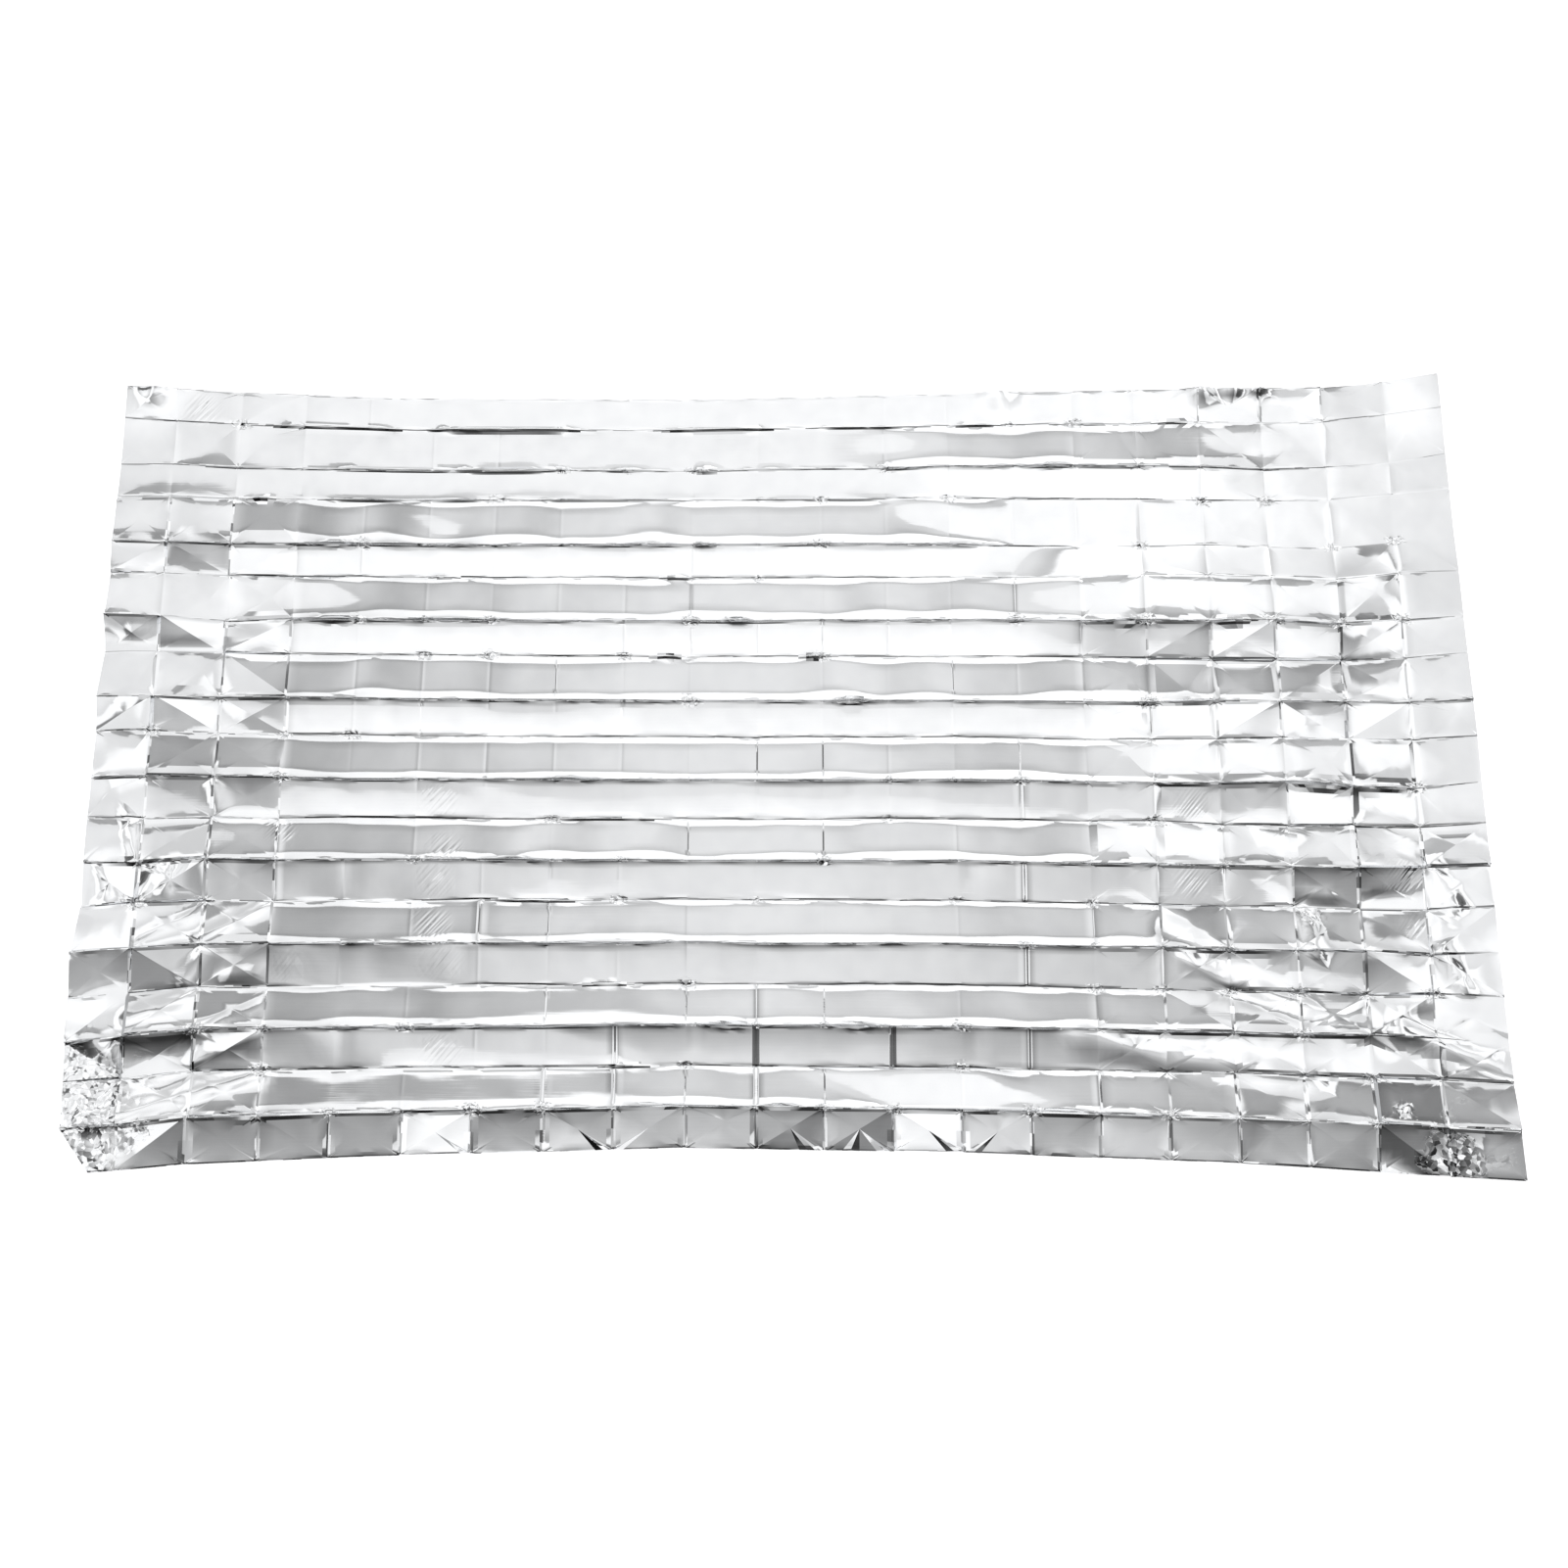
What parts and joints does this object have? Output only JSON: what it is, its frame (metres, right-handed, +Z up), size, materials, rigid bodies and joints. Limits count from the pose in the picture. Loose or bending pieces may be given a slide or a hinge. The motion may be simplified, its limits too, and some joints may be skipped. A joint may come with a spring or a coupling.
{
  "type": "emergency foil blanket",
  "caption": "Thin mirror-bright film sheet that keeps a person warm, unfolded and laid flat, with long packing pleats, cross creases and crumpled ends.",
  "frame": {"origin": "centre of the sheet's outline, on the surface it lies on", "axes": "+X along the sheet's length, +Y across it towards the far edge, +Z up"},
  "size_m": [2.108, 1.2888, 0.0188],
  "materials": {
    "metallised_film": "mirror-bright aluminium coat on thin polyester film, creased"
  },
  "bodies": {
    "root": {"foil_sheet": "metallised_film"}
  },
  "joints": []
}
